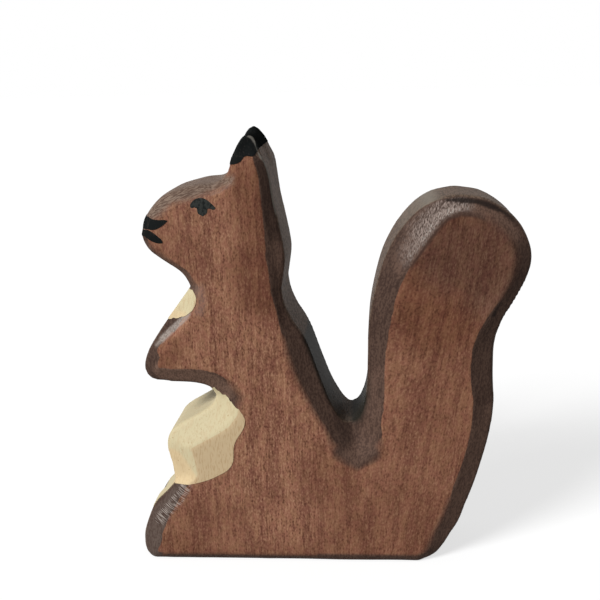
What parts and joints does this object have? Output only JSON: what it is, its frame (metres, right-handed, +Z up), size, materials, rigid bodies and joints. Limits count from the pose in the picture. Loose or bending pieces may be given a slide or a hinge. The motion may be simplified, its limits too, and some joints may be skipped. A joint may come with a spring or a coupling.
{
  "type": "wooden toy figure",
  "caption": "Carved wooden squirrel play figure sitting up with its tail raised, stained brown with a pale belly and a painted face, standing on a flat base.",
  "frame": {"origin": "on the standing face, below the middle of the figure's length and of the board's thickness", "axes": "+Z up; the nose points to -X and the tail to +X; +Y through the board's thickness, towards the animal's right side"},
  "size_m": [0.0772, 0.0204, 0.0862],
  "materials": {
    "stained_wood": "hardwood with a reddish brown stain, satin sheen, darker knife-cut edges",
    "pale_wash": "thin cream wash with the grain showing through, matt",
    "black_paint": "opaque brushed black paint, eggshell sheen"
  },
  "bodies": {
    "root": {"wood_body": "stained_wood", "belly_wash": "pale_wash", "chest_wash": "pale_wash", "ear_tip_paint": "black_paint", "nose_paint": "black_paint", "mouth_paint": "black_paint", "left_eye_paint": "black_paint", "right_eye_paint": "black_paint"}
  },
  "joints": []
}
